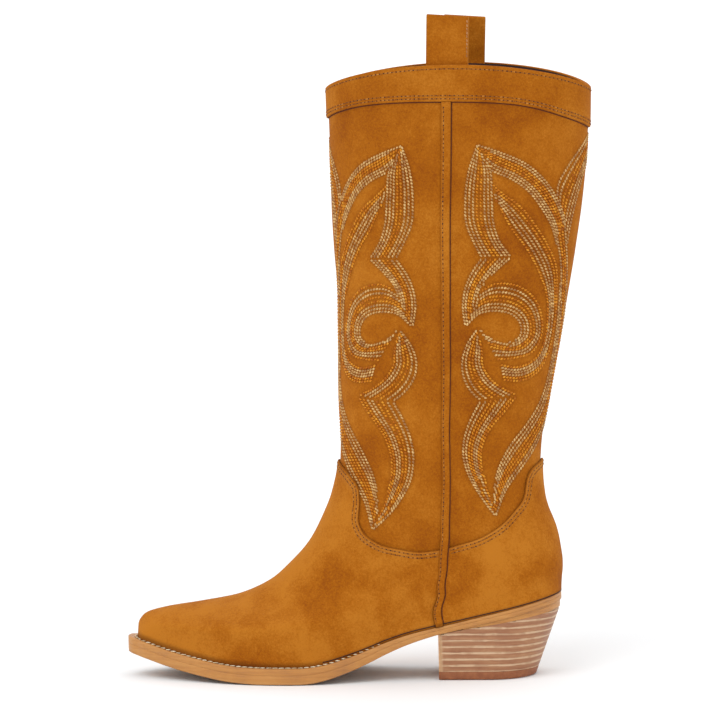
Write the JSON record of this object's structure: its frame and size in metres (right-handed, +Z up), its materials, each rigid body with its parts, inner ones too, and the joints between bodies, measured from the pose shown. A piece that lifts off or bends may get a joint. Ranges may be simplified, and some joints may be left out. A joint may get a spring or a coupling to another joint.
{
  "type": "cowboy boot",
  "caption": "Pull-on suede western boot for a left foot: stitched leg and collar band, tongued vamp, heel counter, welted sole, stacked underslung heel and two pull tabs.",
  "frame": {"origin": "middle of the boot's bounding box, on the floor", "axes": "toe along -X, heel along +X, outer side of the foot along -Y, inner side along +Y, +Z up the leg"},
  "size_m": [0.2964, 0.0946, 0.4134],
  "materials": {
    "suede": "tan suede with a short nap",
    "lining_leather": "dark brown smooth lining",
    "stiffener_board": "stiffened fibre sheet",
    "insole_board": "matte board",
    "cork_filler": "pressed cork",
    "shank_steel": "plain",
    "screw_steel": "plain",
    "nail_brass": "plain",
    "welt_leather": "waxed edge",
    "outsole_leather": "waxed edge",
    "heel_stack": "stacked layers with pale edges",
    "top_lift_rubber": "brown, satin"
  },
  "bodies": {
    "boot": {"back_collar_band": "suede", "back_shaft_lining": "lining_leather", "back_shaft_panel": "suede", "forefoot_filler": "cork_filler", "front_collar_band": "suede", "front_shaft_lining": "lining_leather", "front_shaft_panel": "suede", "heel_breast_cover": "heel_stack", "heel_counter_cover": "suede", "heel_counter_stiffener": "stiffener_board", "heel_lift_1": "heel_stack", "heel_lift_2": "heel_stack", "heel_lift_3": "heel_stack", "heel_lift_4": "heel_stack", "heel_lift_5": "heel_stack", "heel_lift_6": "heel_stack", "heel_lift_7": "heel_stack", "heel_lift_8": "heel_stack", "heel_lift_9": "heel_stack", "heel_lining": "lining_leather", "heel_nail_1": "nail_brass", "heel_nail_2": "nail_brass", "heel_nail_3": "nail_brass", "heel_nail_4": "nail_brass", "heel_nail_5": "nail_brass", "heel_screw": "screw_steel", "heel_seat_wedge": "outsole_leather", "insole_board": "insole_board", "lateral_side_seam_strip": "suede", "lateral_tab_root": "suede", "medial_side_seam_strip": "suede", "medial_tab_root": "suede", "outsole": "outsole_leather", "sock_lining": "lining_leather", "steel_shank": "shank_steel", "toe_puff": "stiffener_board", "top_lift": "top_lift_rubber", "vamp": "suede", "vamp_lining": "lining_leather", "welt": "welt_leather"},
    "lateral_tab": {"lateral_pull_tab": "suede"},
    "medial_tab": {"medial_pull_tab": "suede"}
  },
  "joints": [
    {"name": "lateral_tab_bend", "type": "hinge", "parent": "boot", "child": "lateral_tab", "pos_m": [0.06364, -0.03871, 0.38422], "axis": [1, 0, 0], "range_deg": [-70, 70], "stiffness_Nm_per_rad": 0.004},
    {"name": "medial_tab_bend", "type": "hinge", "parent": "boot", "child": "medial_tab", "pos_m": [0.06816, 0.03781, 0.38415], "axis": [-1, 0, 0], "range_deg": [-70, 70], "stiffness_Nm_per_rad": 0.004}
  ]
}
